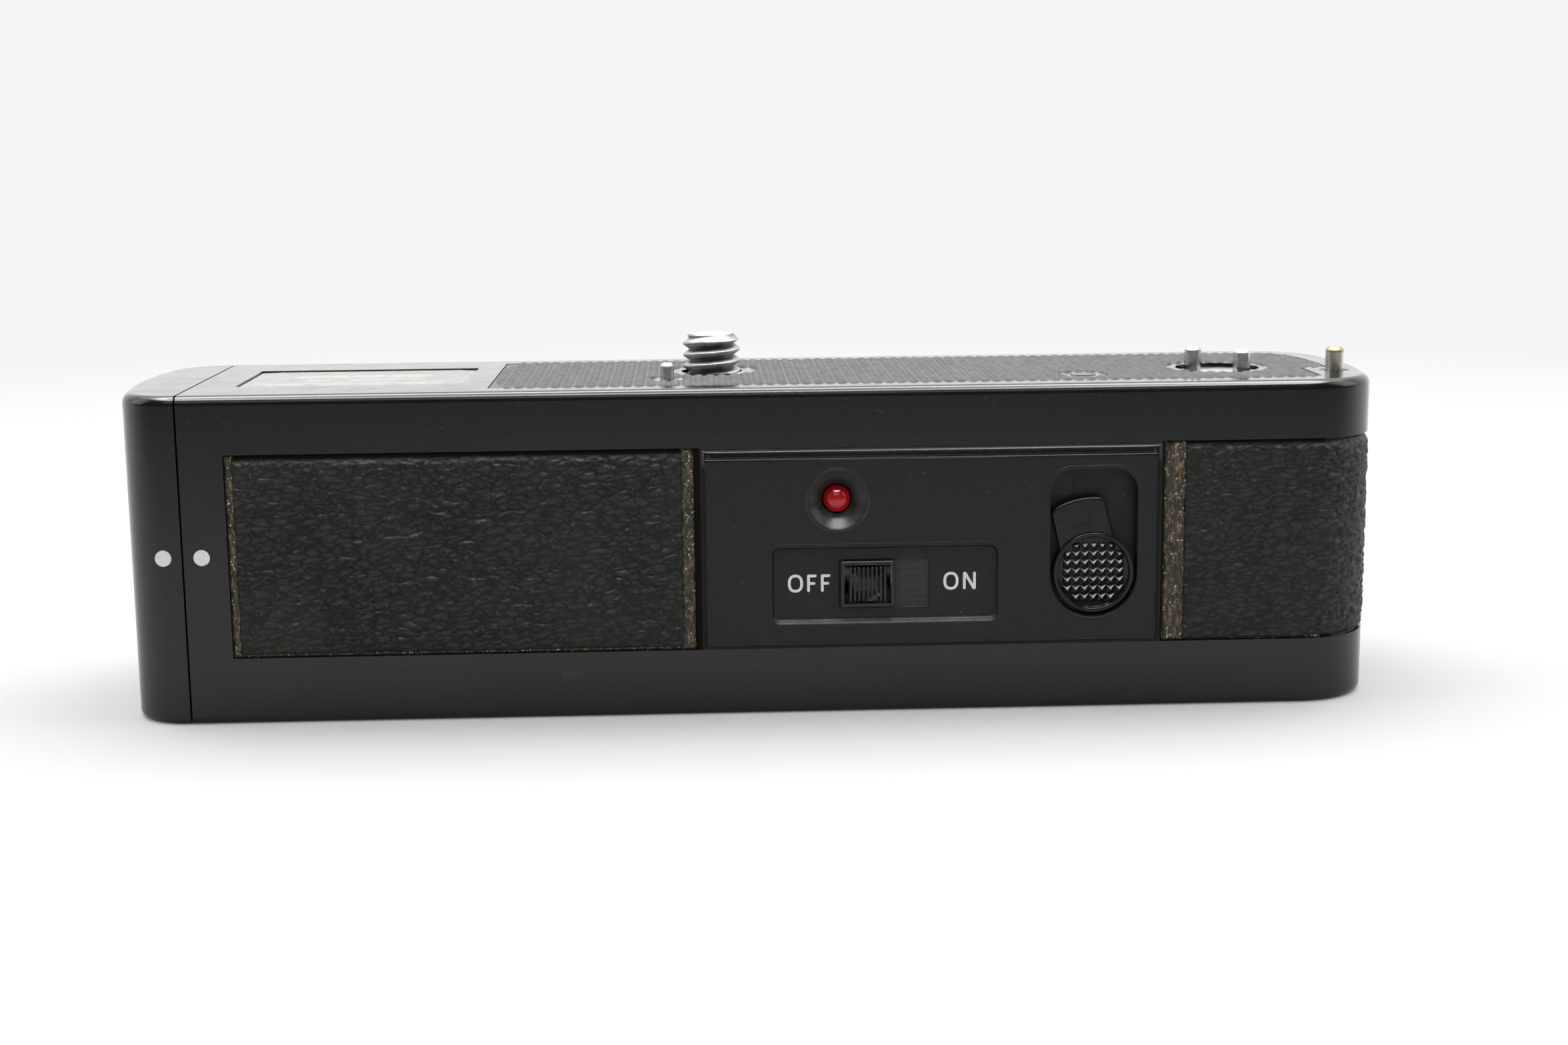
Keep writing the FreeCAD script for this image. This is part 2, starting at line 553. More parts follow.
def make_top_trim():
    rubber = new_body("grip_sheet")
    low, high = "body_height - sheet_recess", "body_height - sheet_recess + sheet_thick"
    slab(rubber, low, high, sheet_outline, "side_gap")
    slab(rubber, f"{low} - {PAST}", f"{high} + {PAST}", rectangle, "island_left - side_gap", "body_length",
         "-body_depth", "island_front + side_gap", remove=True)
    holes = (("screw_at", "screw_side", "collar_radius"), ("guide_at", "guide_side", "guide_bush"),
             ("release_at", "release_side", "release_ring"), ("coupler_at", "coupler_side", "coupler_ring"))
    for x, y, radius in holes:
        slab(rubber, f"{low} - {PAST}", f"{high} + {PAST}", circle, x, y, f"{radius} + side_gap", remove=True)
    plate = box("plate_left + side_gap", "plate_right - side_gap", "plate_back + side_gap",
                "plate_front - side_gap", low, f"{low} + plate_thick")
    subpart(plate, "name_plate")


# Control panel and what it carries ------------------------------------------------------------

PANEL_FACE = REAR
SWITCH_FLOOR = "-body_depth / 2 + switch_sink"
LEVER_FLOOR = "-body_depth / 2 + lever_sink"
PANEL_BACK = "-body_depth / 2 + panel_back"
KNOB_BACK = f"{PANEL_BACK} + free_gap"
CARRIAGE_BACK = f"{PANEL_BACK} + carriage_thick"


def make_panel():
    plate = box("panel_left", "panel_right", PANEL_FACE, BAND_REAR, "rail_top", "band_top")
    block = box("panel_left + panel_flange + side_gap", "panel_right - panel_flange - side_gap", PANEL_FACE,
                PANEL_BACK, "rail_top + panel_flange + side_gap", "band_top - panel_flange - side_gap")
    past_face = f"{PANEL_FACE} - {PAST}"
    past_back = f"{PANEL_BACK} + {PAST}"
    switch = box("switch_left", "switch_right", past_face, SWITCH_FLOOR, "switch_low", "switch_high")
    slot = box("slot_left", "slot_right", past_face, past_back, "slot_low", "slot_high")
    dish = cone_along_y("lamp_at", PANEL_FACE, "lamp_height", "lamp_dish_depth", "lamp_dish",
                        "lamp_radius + side_gap")
    lamp_hole = rod_along("Y", "lamp_at", past_face, "lamp_height", f"3 * {PAST}", "lamp_radius + side_gap")
    low_end = "lever_recess_low + lever_recess_half"
    high_end = "lever_recess_high - lever_recess_corner"
    corner = "(lever_recess_half - lever_recess_corner)"
    depth = f"lever_sink + {PAST}"
    recess = fuse(rod_along("Y", "lever_at", past_face, low_end, depth, "lever_recess_half"),
                  rod_along("Y", f"lever_at - {corner}", past_face, high_end, depth, "lever_recess_corner"),
                  rod_along("Y", f"lever_at + {corner}", past_face, high_end, depth, "lever_recess_corner"),
                  box(f"lever_at - {corner}", f"lever_at + {corner}", past_face, LEVER_FLOOR, high_end,
                      "lever_recess_high"),
                  box("lever_at - lever_recess_half", "lever_at + lever_recess_half", past_face, LEVER_FLOOR,
                      low_end, high_end))
    half = "(lever_shaft + side_gap)"
    through = fuse(rod_along("Y", "lever_at", past_face, "lever_height", f"3 * {PAST}", half),
                   rod_along("Y", "lever_at", past_face, "lever_height + lever_rise", f"3 * {PAST}", half),
                   box(f"lever_at - {half}", f"lever_at + {half}", past_face, past_back, "lever_height",
                       "lever_height + lever_rise"))
    open_panel = cut(fuse(plate, block), switch, slot, dish, lamp_hole, recess, through)
    subpart(fuse(open_panel, lever_stop(), *carriage_rails()), "control_panel")


def lever_stop():
    """The low stop at the upper left of the lever's recess, under the tab's sweep."""
    return box("lever_at - lever_recess_half", "lever_at - stop_right", f"{LEVER_FLOOR} - stop_thick",
               LEVER_FLOOR, "lever_recess_high - stop_length", "lever_recess_high")


def carriage_rails():
    """Two rails on the panel's back that the release carriage slides between."""
    rails = []
    for side in (-1, 1):
        x0, x1 = sorted((f"lever_at + {side} * (carriage_half + side_gap)",
                         f"lever_at + {side} * rail_far"), key=value)
        rails.append(box(x0, x1, PANEL_BACK, f"{CARRIAGE_BACK} + carriage_lip",
                         "lever_height - rail_below", "lever_height + rail_above"))
    return rails


def make_switch():
    """The slide switch: a grooved knob on a slider, and the open case it runs in behind the panel."""
    face = f"{REAR} + switch_sink - knob_proud"
    rest = "slot_left + side_gap"
    stem = box(rest, f"{rest} + knob_length", face, KNOB_BACK, "slot_low + side_gap",
               "slot_high - side_gap")
    grooves = []
    for index in range(KNOB_GROOVES):
        left = f"{rest} + groove_first + {index} * groove_pitch"
        grooves.append(box(left, f"{left} + groove_width", f"{face} - {PAST}", f"{face} + groove_depth",
                           "slot_low", "slot_high"))
    case_back = "board_back - board_thick - side_gap"
    case = box("slot_left - case_margin", "slot_right + case_margin", f"{PANEL_BACK} + side_gap",
               case_back, "slot_low - case_rise", "slot_high + case_rise")
    slider_back = f"{case_back} - case_wall - slider_clear"
    room = box("slot_left - free_gap", "slot_right + free_gap", f"{PANEL_BACK} - {PAST}",
               f"{case_back} - case_wall", "slot_low - 2 * slider_rise", "slot_high + 2 * slider_rise")
    subpart(cut(case, room), "switch_body")
    slider = box(rest, f"{rest} + knob_length", KNOB_BACK, slider_back, "slot_low - slider_rise",
                 "slot_high + slider_rise")
    subpart(fuse(cut(stem, *grooves), slider), "switch_knob")


def make_lamp():
    """The domed lamp and the two leads that run through the board."""
    dome = doc.addObject("Part::Sphere", "dome")
    centre = f"{REAR} + lamp_radius + lamp_sunk"
    at(bind(dome, Radius="lamp_radius"), "lamp_at", centre, "lamp_height")
    shaft = rod_along("Y", "lamp_at", centre, "lamp_height", "lamp_shaft", "lamp_radius")
    start = f"{centre} + lamp_shaft"
    leads = [rod_along("Y", f"lamp_at + {side} * lead_side", start, "lamp_height",
                       f"board_back + lead_proud - ({start})", "lead_radius") for side in (-1, 1)]
    subpart(fuse(dome, shaft, *leads), "status_lamp")


def make_lever():
    """The knurled button and its tab, turned together to the rest tilt about the button's centre."""
    low = f"{LEVER_FLOOR} - side_gap - tab_lift"
    disc = rod_along("Y", "0", f"{REAR} - leather_proud", "0", f"({low}) - ({REAR}) + leather_proud",
                     "button_radius")
    tab = box("-tab_half", "tab_half", f"{low} - tab_thick", low, "0", "tab_reach")
    bound = rod_along("Y", "0", f"{low} - {PAST}", "0", f"2 * {PAST}", "tab_reach")
    shaft = rod_along("Y", "0", low, "0", f"{CARRIAGE_BACK} - ({low})", "lever_shaft")
    lever = fuse(disc, common(tab, bound), shaft)
    turn = FreeCAD.Rotation(FreeCAD.Vector(0, 1, 0), -mm("lever_tilt"))
    lever.Placement = FreeCAD.Placement(FreeCAD.Vector(0, 0, 0), turn)
    at(lever, "lever_at", "0", "lever_height")
    subpart(lever, "release_lever")


def make_release():
    """The carriage behind the panel lifts the push pin as the lever slides up."""
    carriage = fuse(
        box("lever_at - carriage_half", "lever_at + carriage_half", f"{PANEL_BACK} + free_gap",
            f"{CARRIAGE_BACK} + carriage_lip", "lever_height - carriage_half",
            "lever_height + carriage_half"),
        box("lever_at - arm_half", "lever_at + arm_half", CARRIAGE_BACK, "release_side + arm_half",
            "lever_height + arm_low", "lever_height + carriage_half"))
    hole = rod_along("Y", "lever_at", f"{CARRIAGE_BACK} - {PAST}", "lever_height", f"2 * {PAST}",
                     "lever_shaft + run_gap")
    subpart(cut(carriage, hole), "release_carriage")
    head_low = "body_height - release_head_length"
    foot = "lever_height + carriage_half"
    pin = fuse(rod("release_at", "release_side", head_low, "body_height", "release_head"),
               rod("release_at", "release_side", foot, head_low, "release_shank"),
               rod("release_at", "release_side", RELEASE_COLLAR, COLLAR_TOP, "release_collar"))
    subpart(pin, "release_pin")
    ring = cut(rod("release_at", "release_side", f"{ROOF_UNDER} - free_gap", BUSH_TOP, "release_ring"),
               rod("release_at", "release_side", f"{head_low} - 1", "body_height + 1",
                   "release_head + run_gap"))
    subpart(ring, "release_bush")
    coil_spring("release_spring", "release_at", "release_side", COLLAR_TOP, LOWER_PLATE,
                "release_collar - free_gap")


# Battery magazine -----------------------------------------------------------------------------

def contact_strip(side, right, room):
    """One strip that joins the upper and the lower cell of a pair, or the room for it."""
    half_width = f"strip_half + {room}"
    reach = f"{CELL_PITCH} / 2 + strip_reach + {room}"
    return box(f"{CELL_LEFT} - contact_thick", right, f"{side} * {CELL_PITCH} / 2 - ({half_width})",
               f"{side} * {CELL_PITCH} / 2 + {half_width}", f"{MIDDLE} - ({reach})", f"{MIDDLE} + {reach}")


def make_magazine():
    whole = box("-body_length / 2", MAG_RIGHT, "-magazine_half", "magazine_half", "magazine_low",
                "magazine_high")
    inside_cap = plain_body("magazine_end")
    slab(inside_cap, "0", "body_height", rounded_end, "0", "wall + seat_gap", "left")
    block = common(whole, inside_cap)
    bores = [rod_along("X", f"{CELL_LEFT} - contact_thick", y, z, "cell_length + 2 * contact_thick",
                       "cell_radius + cell_clear") for y, z in CELL_PLACES]
    screws = [rod_along("X", "-body_length / 2", f"{side} * magazine_screw_side", MIDDLE,
                        "magazine_screw_length + wall", "bolt_radius") for side in (-1, 1)]
    studs_room = [rod_along("X", CELL_RIGHT, y, z, f"{PAST}", "contact_stud") for y, z in CELL_PLACES]
    strip_rooms = [contact_strip(side, CELL_LEFT, "seat_gap") for side in (-1, 1)]
    cup_room = rod("screw_at", "screw_side", "0", "knob_pocket + floor_thick + cup_clear",
                   "knob_disc + knob_clear + cup_wall + cup_clear")
    subpart(cut(block, *bores, *screws, *studs_room, *strip_rooms, cup_room), "magazine_frame")
    cells = []
    for y, z in CELL_PLACES:
        can = rod_along("X", CELL_LEFT, y, z, "cell_length - nub_length", "cell_radius")
        nub = rod_along("X", f"{CELL_RIGHT} - nub_length", y, z, "nub_length", "nub_radius")
        cells.append(fuse(can, nub))
    subpart(group(*cells), "battery_cells")
    studs = []
    for y, z in CELL_PLACES:
        pad_plate = rod_along("X", f"{CELL_RIGHT} + bolt_fit", y, z, "contact_thick - bolt_fit",
                              "pad_radius")
        stud = rod_along("X", f"{CELL_RIGHT} + contact_thick", y, z, "magazine_end + stud_proud",
                         "contact_stud")
        studs.append(fuse(pad_plate, stud))
    strips = [contact_strip(side, f"{CELL_LEFT} - seat_gap", "0") for side in (-1, 1)]
    subpart(group(*strips, *studs), "magazine_contacts")


def make_magazine_screws():
    """Two screws hold the magazine in the cap; the end leather hides their heads."""
    start = "-body_length / 2 + 0.4"
    screws = []
    for side in (-1, 1):
        y = f"{side} * magazine_screw_side"
        head = rod_along("X", start, y, MIDDLE, "screw_head", "bolt_head")
        shank = rod_along("X", start, y, MIDDLE, "magazine_screw_length", "bolt_radius - seat_gap")
        slot = box(start, f"{start} + screw_slot", f"{y} - {PAST}", f"{y} + {PAST}",
                   f"{MIDDLE} - screw_slot_half", f"{MIDDLE} + screw_slot_half")
        screws.append(cut(fuse(head, shank), slot))
    subpart(group(*screws), "magazine_screws")


def make_terminals():
    """The block that meets the magazine's studs, its tongues, and the springs beside the magazine."""
    left = f"{MAG_RIGHT} + terminal_gap + terminal_clear"
    block = box(left, f"{left} + terminal_thick", "-magazine_half", "magazine_half", "floor_thick",
                "terminal_top")
    cup = rod("screw_at", "screw_side", "0", "knob_pocket + floor_thick + cup_clear",
              "knob_disc + knob_clear + cup_wall + cup_clear")
    subpart(cut(block, cup), "terminal_block")
    tongues = [box(f"{left} - tongue_thick", left, f"{y} - tongue_half", f"{y} + tongue_half",
                   f"{z} - tongue_rise", f"{z} + tongue_rise") for y, z in CELL_PLACES]
    subpart(group(*tongues), "terminal_contacts")
    springs = []
    for side in (-1, 1):
        y0, y1 = sorted((f"{side} * (body_depth / 2 - wall)",
                         f"{side} * (body_depth / 2 - wall - detent_thick)"), key=value)
        springs.append(box(f"{SEAM} + detent_left", f"{SEAM} + detent_right", y0, y1,
                           f"{MIDDLE} - detent_half", f"{MIDDLE} + detent_half"))
    subpart(group(*springs), "magazine_detents")


# Attaching screw, tripod socket and the pins of the top face ----------------------------------

def thread(radius, core, pitch, length, top):
    """A screw thread as one ridge wound on its core, cut square at both ends."""
    x, y = mm("screw_at"), mm("screw_side")
    low = top - length
    base = core - mm("thread_sink")
    helix = Part.makeHelix(pitch, length + pitch, base)
    inner_half, crest_half = 0.44 * pitch, 0.07 * pitch
    points = [FreeCAD.Vector(base, 0, -inner_half), FreeCAD.Vector(radius, 0, -crest_half),
              FreeCAD.Vector(radius, 0, crest_half), FreeCAD.Vector(base, 0, inner_half)]
    outline = Part.makePolygon(points + points[:1])
    ridge = Part.Wire(helix.Edges).makePipeShell([outline], True, True)
    ridge.translate(FreeCAD.Vector(x, y, low - pitch / 2))
    middle = Part.makeCylinder(core, length, FreeCAD.Vector(x, y, low))
    window = Part.makeCylinder(radius + 1, length, FreeCAD.Vector(x, y, low))
    # the tip is chamfered at 45 degrees by a cone that meets the core thread_lead above the end
    wide = radius + 0.8
    cone_low = top - (wide - core) + mm("thread_lead")
    lead = Part.makeCone(wide, core, wide - core, FreeCAD.Vector(x, y, cone_low))
    below = Part.makeCylinder(radius + 1, length, FreeCAD.Vector(x, y, cone_low - length))
    trimmed = ridge.common(window).common(lead.fuse(below))
    return middle.fuse(trimmed)


def make_screw():
    """The attaching screw with its coin-slotted disc, the sleeve it turns in and the collar on top."""
    top = mm("body_height") + mm("thread_proud")
    ridge = thread(mm("thread_radius"), mm("thread_core"), mm("thread_pitch"), mm("thread_length"), top)
    x, y = mm("screw_at"), mm("screw_side")
    low = mm("knob_disc_thick") * 0.5
    joint = top - mm("thread_length")
    shank = Part.makeCylinder(mm("screw_shank"), joint - low, FreeCAD.Vector(x, y, low))
    shaped("attaching_screw", ridge.fuse(shank).removeSplitter())
    disc = rod("screw_at", "screw_side", "side_gap", "knob_disc_thick", "knob_disc")
    seat = rod("screw_at", "screw_side", "knob_disc_thick * 0.5", "knob_disc_thick + 1", "screw_shank")
    slot = box("screw_at - knob_disc - 1", "screw_at + knob_disc + 1", "screw_side - coin_slot_half",
               "screw_side + coin_slot_half", "-1", "coin_slot_depth")
    subpart(cut(disc, seat, slot), "attaching_knob")
    sleeve_low, sleeve_high = "knob_pocket + run_gap", ROOF_UNDER
    outer = rod("screw_at", "screw_side", sleeve_low, sleeve_high, "screw_shank + run_gap + sleeve_wall")
    inner = rod("screw_at", "screw_side", f"{sleeve_low} - 1", f"{sleeve_high} + 1", "screw_shank + run_gap")
    subpart(cut(outer, inner), "screw_sleeve")
    collar = cut(rod("screw_at", "screw_side", ROOF_UNDER, BUSH_TOP, "collar_radius"),
                 rod("screw_at", "screw_side", f"{ROOF_UNDER} - 1", "body_height + 1", "collar_hole"))
    subpart(collar, "screw_collar")


def make_socket():
    insert = cut(rod("socket_at", "screw_side", "bolt_fit", "socket_depth", "socket_outer"),
                 rod("socket_at", "screw_side", "-1", "socket_depth - socket_end", "socket_radius"))
    subpart(insert, "tripod_socket")


def domed_pin(x, y, low, height, radius):
    """A pin with a chamfered tip."""
    tip = f"({height}) - tip_rise"
    return fuse(rod(x, y, low, tip, radius), cone(x, y, tip, height, radius, f"{radius} - tip_in"))


PIN_SIZES = ("at", "side", "radius", "bush", "height", "flange")


def sprung_pin(name, x, y, radius, bush_radius, height, flange):
    """A pin that is pushed down into its bush against a coil spring."""
    floor = "body_height - bush_depth"
    shoulder = f"{floor} + shoulder_up"
    flange_top = f"{shoulder} + shoulder_thick"
    pin = fuse(domed_pin(x, y, shoulder, f"body_height + {height}", radius),
               rod(x, y, shoulder, flange_top, flange))
    subpart(pin, f"{name}_pin")
    outer = rod(x, y, f"{floor} - bush_floor", BUSH_TOP, bush_radius)
    bore = rod(x, y, f"{flange_top} + run_gap", "body_height + 1", f"{radius} + run_gap")
    room = rod(x, y, floor, f"{flange_top} + run_gap", f"{flange} + run_gap")
    subpart(cut(outer, bore, room), f"{name}_bush")
    coil_spring(f"{name}_spring", x, y, floor, shoulder, f"{flange} - coil_in")


def coil_spring(name, x, y, z0, z1, radius, turns=5):
    """A coil between two seats, wound about an upright axis."""
    wire, coil_radius = mm("spring_wire"), value(radius)
    seat = wire + mm("seat_gap")
    rise = value(f"({z1}) - ({z0})") - 2 * seat
    helix = Part.makeLongHelix(rise / turns, rise, coil_radius)
    section = Part.Wire(Part.makeCircle(wire, FreeCAD.Vector(coil_radius, 0, 0), FreeCAD.Vector(0, 1, 0)))
    coil = Part.Wire(helix.Edges).makePipeShell([section], True, True)
    shaped(name, coil, (value(x), value(y), value(z0) + seat))


# Drive ----------------------------------------------------------------------------------------

def involute(angle):
    """The involute function: the angle an involute has turned where its tangent stands at this one."""
    return math.tan(angle) - angle


WHEELS = ("pinion", "first", "first_pinion", "second", "second_pinion", "coupler")


def gear_outline(teeth, module, backlash):
    """Half-tooth angles of an involute gear from its root to its tip."""
    pressure = math.radians(20)
    pitch_radius = teeth * module / 2
    base_radius = pitch_radius * math.cos(pressure)
    tip_radius = pitch_radius + module
    root_radius = pitch_radius - 1.25 * module
    half_at_pitch = math.pi / (2 * teeth) - backlash / (2 * pitch_radius)

    def half_angle(radius):
        turn = math.acos(min(1.0, base_radius / radius))
        return half_at_pitch + involute(pressure) - involute(turn)

    start = max(base_radius, root_radius)
    steps = [start + (tip_radius - start) * index / 4 for index in range(5)]
    flank = [(radius, half_angle(radius)) for radius in steps]
    if root_radius < base_radius:
        flank.insert(0, (root_radius, flank[0][1]))
    return flank


def gear(x, y, z0, thick, teeth, phase, bore=0.0):
    """A spur gear with a tooth's middle at the angle phase, in degrees."""
    flank = gear_outline(teeth, mm("gear_module"), mm("gear_backlash"))
    points = []
    for index in range(int(teeth)):
        middle = math.radians(phase) + 2 * math.pi * index / teeth
        side = [(radius, middle - half) for radius, half in flank]
        side += [(radius, middle + half) for radius, half in reversed(flank)]
        points += [FreeCAD.Vector(x + r * math.cos(a), y + r * math.sin(a), z0) for r, a in side]
    blank = Part.Face(Part.makePolygon(points + points[:1])).extrude(FreeCAD.Vector(0, 0, thick))
    if bore:
        hole = Part.makeCylinder(bore, thick + 2, FreeCAD.Vector(x, y, z0 - 1))
        blank = blank.cut(hole)
    return blank


def meshing_phase(phase, teeth, direction, other_teeth):
    """The phase that puts the other gear's gap on the line of centres opposite this gear's tooth."""
    share = (direction - phase) / (360 / teeth)
    return direction + 180 + (share - 0.5) * 360 / other_teeth


def heading(start, finish):
    return math.degrees(math.atan2(finish[1] - start[1], finish[0] - start[0]))


def gear_centres():
    """The centres of the motor, the two idlers and the coupler."""
    return [(value(walked_back("coupler_at", "cos", count)),
             value(walked_back("coupler_side", "sin", count))) for count in (3, 2, 1, 0)]


def make_gears():
    """
    The train from the motor's pinion to the coupler: each idler is a wheel with a pinion on top,
    set on its spindle so that its teeth fall in the gaps of the one before.
    """
    motor, first, second, coupler = gear_centres()
    thick, past = mm("gear_thick"), mm("pinion_past")
    one, two, three = value(LEVEL_ONE), value(LEVEL_TWO), value(LEVEL_THREE)
    lift = mm("wheel_lift")
    bore = mm("spindle_radius") + mm("run_gap")
    teeth = {name: mm(f"{name}_teeth") for name in WHEELS}
    pinion_phase = 0.0
    shaped("motor_pinion", gear(*motor, one - past, thick + 2 * past, teeth["pinion"], pinion_phase,
                                mm("motor_shaft")))
    first_phase = meshing_phase(pinion_phase, teeth["pinion"], heading(motor, first), teeth["first"])
    wheel = gear(*first, one, thick, teeth["first"], first_phase, bore)
    step_gear = gear(*first, one + thick, two + thick - one, teeth["first_pinion"], first_phase, bore)
    shaped("first_gear", wheel.fuse(step_gear))
    second_phase = meshing_phase(first_phase, teeth["first_pinion"], heading(first, second),
                                 teeth["second"])
    wheel = gear(*second, two + lift, thick, teeth["second"], second_phase, bore)
    step_gear = gear(*second, two + lift + thick, three - two - lift, teeth["second_pinion"],
                     second_phase, bore)
    shaped("second_gear", wheel.fuse(step_gear))
    coupler_phase = meshing_phase(second_phase, teeth["second_pinion"], heading(second, coupler),
                                  teeth["coupler"])
    wheel = gear(*coupler, three + lift, thick - 2 * lift, teeth["coupler"], coupler_phase,
                 mm("coupler_shaft"))
    shaped("coupler_gear", wheel)
    low, high = value(LOWER_PLATE), value(UPPER_PLATE) + mm("upper_sheet")
    spindles = [Part.makeCylinder(mm("spindle_radius"), high - low, FreeCAD.Vector(x, y, low))
                for x, y in (first, second)]
    shaped("gear_spindles", Part.makeCompound(spindles))


def make_plates():
    """The two plates that carry the train, with their posts, screws and the coupler's bushes."""
    first, second = gear_centres()[1:3]
    levels = (("lower_gear_plate", LOWER_PLATE, "plate_sheet"),
              ("upper_gear_plate", UPPER_PLATE, "upper_sheet"))
    bushes = []
    for name, low, thick in levels:
        plate = box("plates_left", "plates_right", "plates_back", "plates_front", low, f"{low} + {thick}")
        under, over = f"{low} - 1", f"{low} + {thick} + 1"
        spindle_holes = [rod(x, y, under, over, "spindle_radius") for x, y in (first, second)]
        shaft = rod("coupler_at", "coupler_side", under, over, COUPLER_BUSH)
        pin = rod("release_at", "release_side", under, over, "release_head + free_gap")
        screws = [rod(x, y, under, over, "bolt_radius") for x, y in PILLARS]
        around_bosses = [rod(x, y, under, over, "boss_radius + free_gap") for x, y in BOSSES[2:]]
        tools = [*spindle_holes, shaft, pin, *screws, *around_bosses]
        if low == LOWER_PLATE:
            tools.append(rod(MOTOR_X, MOTOR_Y, under, over, "motor_nose + side_gap"))
        else:
            tools.append(rod(MOTOR_X, MOTOR_Y, under, over, "motor_shaft + run_gap"))
        subpart(cut(plate, *tools), name)
        bush = cut(rod("coupler_at", "coupler_side", low, f"{low} + {thick}", COUPLER_BUSH),
                   rod("coupler_at", "coupler_side", under, over, "coupler_shaft + run_gap"))
        bushes.append(bush)
    subpart(group(*bushes), "coupler_bushes")
    pillars = [cut(rod(x, y, "floor_thick", LOWER_PLATE, "pillar_radius"),
                   rod(x, y, f"{LOWER_PLATE} - pillar_bore", f"{LOWER_PLATE} + 1", "bolt_radius"))
               for x, y in PILLARS]
    spacers = [cut(rod(x, y, f"{LOWER_PLATE} + plate_sheet", UPPER_PLATE, "pillar_radius"),
                   rod(x, y, LOWER_PLATE, f"{UPPER_PLATE} + 1", "bolt_radius")) for x, y in PILLARS]
    subpart(group(*pillars, *spacers), "gear_plate_posts")
    face = f"{UPPER_PLATE} + upper_sheet"
    screws = [fuse(rod(x, y, f"{LOWER_PLATE} - pillar_screw", face, "bolt_radius - bolt_fit"),
                   rod(x, y, face, f"{face} + pillar_head", "bolt_head - pillar_head_in"))
              for x, y in PILLARS]
    subpart(group(*screws), "gear_plate_screws")


def make_coupler():
    """The driving disc with its two dogs, and the ring round it in the top face."""
    disc_top = "body_height - coupler_sink"
    disc_low = f"{disc_top} - coupler_disc_thick"
    shaft = rod("coupler_at", "coupler_side", LOWER_PLATE, disc_low, "coupler_shaft")
    disc = rod("coupler_at", "coupler_side", disc_low, disc_top, "coupler_disc")
    angle = math.radians(mm("dog_angle"))
    dogs = []
    for side in (-1, 1):
        x = f"coupler_at + {side} * dog_reach * {math.cos(angle):.6f}"
        y = f"coupler_side + {side} * dog_reach * {math.sin(angle):.6f}"
        dogs.append(domed_pin(x, y, disc_low, "body_height + dog_height", "dog_radius"))
    subpart(fuse(shaft, disc, *dogs), "coupler")
    ring = cut(rod("coupler_at", "coupler_side", ROOF_UNDER, BUSH_TOP, "coupler_ring"),
               rod("coupler_at", "coupler_side", f"{ROOF_UNDER} - 1", "body_height + 1", "coupler_hole"))
    subpart(ring, "coupler_ring")


def make_motor():
    """A small direct-current motor: can, end cover with brushes, two magnets and a three-pole rotor."""
    x, y = MOTOR_X, MOTOR_Y
    cover_top = "motor_low + end_cover_thick"
    can_inner = f"{LOWER_PLATE} - motor_wall"
    wall_inner = "motor_radius - motor_wall"
    high = f"{LOWER_PLATE} + {PAST}"
    can = cut(rod(x, y, cover_top, LOWER_PLATE, "motor_radius"),
              rod(x, y, "motor_low", can_inner, wall_inner),
              rod(x, y, "motor_low", high, "motor_hole"))
    # the bearing fills the can's hole and narrows to the nose that centres it in the plate
    shoulder = cut(rod(x, y, LOWER_PLATE, high, "motor_radius"),
                   rod(x, y, f"{LOWER_PLATE} - 1", f"{high} + 1", "motor_nose"))
    nose = cut(rod(x, y, f"{can_inner} - 1", f"{LOWER_PLATE} + plate_sheet", "motor_hole"),
               rod(x, y, "motor_low", high, "motor_shaft + run_gap"), shoulder)
    subpart(fuse(can, nose), "motor_can")
    magnets = []
    for side in (-1, 1):
        ring = cut(rod(x, y, "motor_low + magnet_low", f"{can_inner} - magnet_short",
                       f"{wall_inner} - seat_gap"),
                   rod(x, y, "motor_low", LOWER_PLATE, f"{wall_inner} - magnet_thick"))
        y0, y1 = sorted((f"{MOTOR_Y} + {side} * magnet_from", f"{MOTOR_Y} + {side} * 2 * motor_radius"),
                        key=value)
        half = box(f"{MOTOR_X} - 2 * motor_radius", f"{MOTOR_X} + 2 * motor_radius", y0, y1,
                   "motor_low", LOWER_PLATE)
        magnets.append(common(ring, half))
    subpart(group(*magnets), "motor_magnets")
    core_low = "motor_low + armature_low"
    core_high = f"{core_low} + armature_length"
    poles = rod(x, y, core_low, core_high, "armature_radius")
    count = int(mm("pole_slots"))
    slots = []
    for index in range(count):
        angle = math.radians(90 + index * 360 / count)
        slots.append(rod(f"{MOTOR_X} + pole_slot_at * {math.cos(angle):.6f}",
                         f"{MOTOR_Y} + pole_slot_at * {math.sin(angle):.6f}",
                         f"{core_low} - 1", f"{core_high} + 1", "pole_slot"))
    bore = rod(x, y, f"{core_low} - 1", f"{core_high} + 1", "motor_shaft")
    subpart(cut(poles, *slots, bore), "motor_armature")
    commutator = cut(rod(x, y, "motor_low + commutator_low", core_low, "commutator_radius"),
                     rod(x, y, "motor_low", LOWER_PLATE, "motor_shaft"))
    axle = rod(x, y, "motor_low + end_cover_floor + side_gap", f"{LEVEL_ONE} + gear_thick + 1",
               "motor_shaft")
    subpart(fuse(axle, commutator), "motor_shaft")
    tail = cut(rod(x, y, "motor_low", cover_top, "motor_radius"),
               rod(x, y, "motor_low + end_cover_floor", f"{cover_top} + 1", "motor_shaft + run_gap"))
    brushes = []
    for side in (-1, 1):
        middle = f"{MOTOR_X} + {side} * brush_at"
        brushes.append(box(f"{middle} - brush_half", f"{middle} + brush_half",
                           f"{MOTOR_Y} - brush_side", f"{MOTOR_Y} + brush_side",
                           cover_top, f"{core_low} - brush_short"))
    subpart(fuse(tail, *brushes), "motor_end_cover")


# Electrics and bolts --------------------------------------------------------------------------

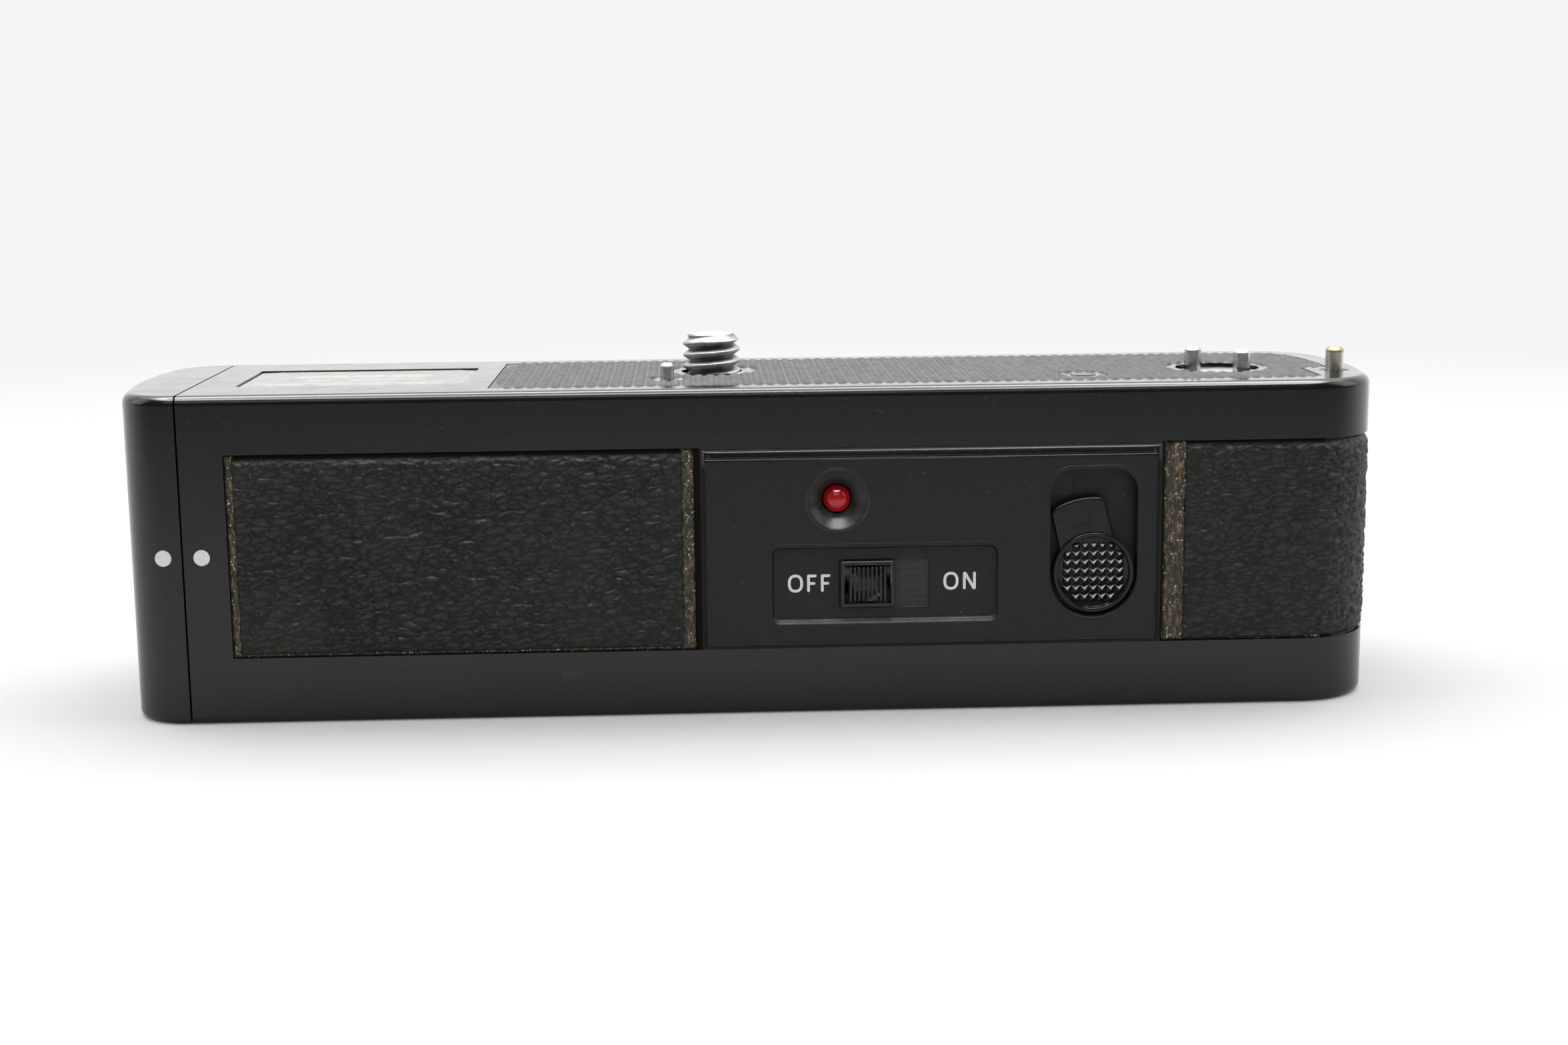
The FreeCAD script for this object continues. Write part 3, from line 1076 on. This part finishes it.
def make_boards():
    """The switch board behind the panel and the logic board beside the motor, on their posts."""
    front = "board_back - board_thick"
    board = box("board_left", "board_right", front, "board_back", "board_low", "board_high")
    holes = [rod_along("Y", f"lamp_at + {side} * lead_side", f"{front} - 1", "lamp_height",
                       "board_thick + 2", "lead_radius + bolt_fit") for side in (-1, 1)]
    subpart(cut(board, *holes), "switch_board")
    feet = [box(x, f"{x} + foot_length", f"{front} + bolt_fit", "board_back - bolt_fit",
                "floor_thick", "board_low")
            for x in ("board_left + foot_in", "board_right - foot_in - foot_length")]
    top = "logic_low + board_thick"
    logic = box(LOGIC_LEFT, LOGIC_RIGHT, "logic_back", "logic_front", "logic_low", top)
    subpart(logic, "logic_board")
    posts = [rod(x, y, "floor_thick", "logic_low", "post_radius")
             for x in (f"{LOGIC_LEFT} + post_in", f"{LOGIC_RIGHT} - post_in")
             for y in ("logic_back + post_in", "logic_front - post_in")]
    subpart(group(*feet, *posts), "board_posts")
    relay_left = f"{LOGIC_LEFT} + relay_from"
    relay = box(relay_left, f"{relay_left} + relay_length", "relay_back", "relay_front", top,
                f"{top} + relay_high")
    capacitors = [rod(f"{LOGIC_LEFT} + capacitor_from + {index} * capacitor_pitch", "capacitor_side",
                      top, f"{top} + capacitor_high", "capacitor_radius") for index in range(2)]
    subpart(group(relay, *capacitors), "board_components")


def cross_slots(x, y):
    """The two crossed slots of a bolt's head."""
    half, reach = "bolt_slot_half", "2 * bolt_head"
    return [box(f"{x} - {half}", f"{x} + {half}", f"{y} - {reach}", f"{y} + {reach}", "0",
                "bolt_slot_depth"),
            box(f"{x} - {reach}", f"{x} + {reach}", f"{y} - {half}", f"{y} + {half}", "0",
                "bolt_slot_depth")]


def make_bolts():
    """Four bolts from below hold the top cover on the housing."""
    bolts = [fuse(rod(x, y, "bolt_head * 0.4", "band_top + bolt_grip", "bolt_radius - bolt_fit"),
                  cut(rod(x, y, "bolt_sunk", "bolt_head * 0.98", "bolt_head"), *cross_slots(x, y)))
             for x, y in BOSSES]
    subpart(group(*bolts), "housing_bolts")


make_housing()
make_top_cover()
make_end_cap()
make_dots()
make_leathers()
make_top_trim()
make_panel()
make_switch()
make_lamp()
make_lever()
make_release()
make_magazine()
make_magazine_screws()
make_terminals()
make_screw()
make_socket()
for pin_name in ("guide", "contact"):
    sprung_pin(pin_name, *(f"{pin_name}_{size}" for size in PIN_SIZES))
make_gears()
make_plates()
make_coupler()
make_motor()
make_boards()
make_bolts()
doc.recompute()

for item in doc.Objects:
    assert not {"Invalid", "Error"} & set(item.State), f"{item.Label} failed to compute: {item.State}"
for item in subparts:
    assert not item.Shape.isNull() and item.Shape.isValid(), f"{item.Label} has no valid shape"

os.makedirs("parts", exist_ok=True)
for item in subparts:
    item.Shape.exportStep(f"parts/{item.Label}.step")
    print(item.Label, len(item.Shape.Solids), "solid(s)", round(item.Shape.Volume, 2), "mm3")
